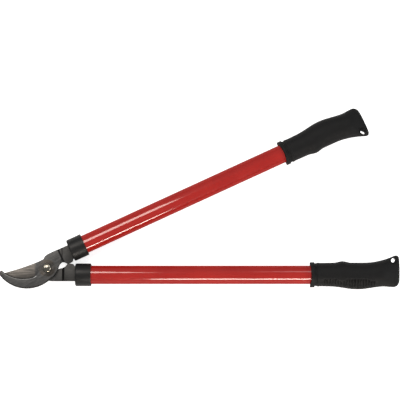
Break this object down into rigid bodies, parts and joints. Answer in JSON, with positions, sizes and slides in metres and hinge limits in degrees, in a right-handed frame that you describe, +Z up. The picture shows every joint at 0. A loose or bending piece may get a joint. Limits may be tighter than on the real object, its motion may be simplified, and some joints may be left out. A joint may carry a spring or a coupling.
{
  "type": "bypass loppers",
  "caption": "Long-handled bypass loppers: a forged cutting blade closes past a curved hook on one pivot bolt, with tubular handles and moulded grips that flare at the end.",
  "frame": {"origin": "middle of the tool's base, where it lies flat with the jaws shut", "axes": "+X runs along the lower handle away from the jaws, +Y towards the upper handle, +Z up through the pivot bolt's head"},
  "size_m": [0.625, 0.287, 0.0394],
  "materials": {
    "forged_steel": "dark oxidised forging, with ground faces",
    "plated_steel": "bright zinc plate",
    "red_paint": "gloss powder coat",
    "collar_plastic": "satin black moulding",
    "grip_plastic": "matte soft black moulding",
    "socket_plastic": "plain moulding, hidden in the tube",
    "nylon": "natural nylon"
  },
  "bodies": {
    "lower_handle": {"cutting_blade": "forged_steel", "pivot_bolt": "plated_steel", "pivot_washer": "plated_steel", "pivot_nut": "plated_steel", "nut_nylon_ring": "nylon", "lower_tube": "red_paint", "lower_collar": "collar_plastic", "lower_grip": "grip_plastic", "lower_tang_socket": "socket_plastic", "lower_cross_pin": "plated_steel"},
    "upper_handle": {"hook_jaw": "forged_steel", "upper_tube": "red_paint", "upper_collar": "collar_plastic", "upper_grip": "grip_plastic", "upper_tang_socket": "socket_plastic", "upper_cross_pin": "plated_steel"}
  },
  "joints": [
    {"name": "pivot", "type": "hinge", "parent": "lower_handle", "child": "upper_handle", "pos_m": [-0.23706, -0.11091, 0.0197], "axis": [0, 0, 1], "range_deg": [0, 55]}
  ]
}
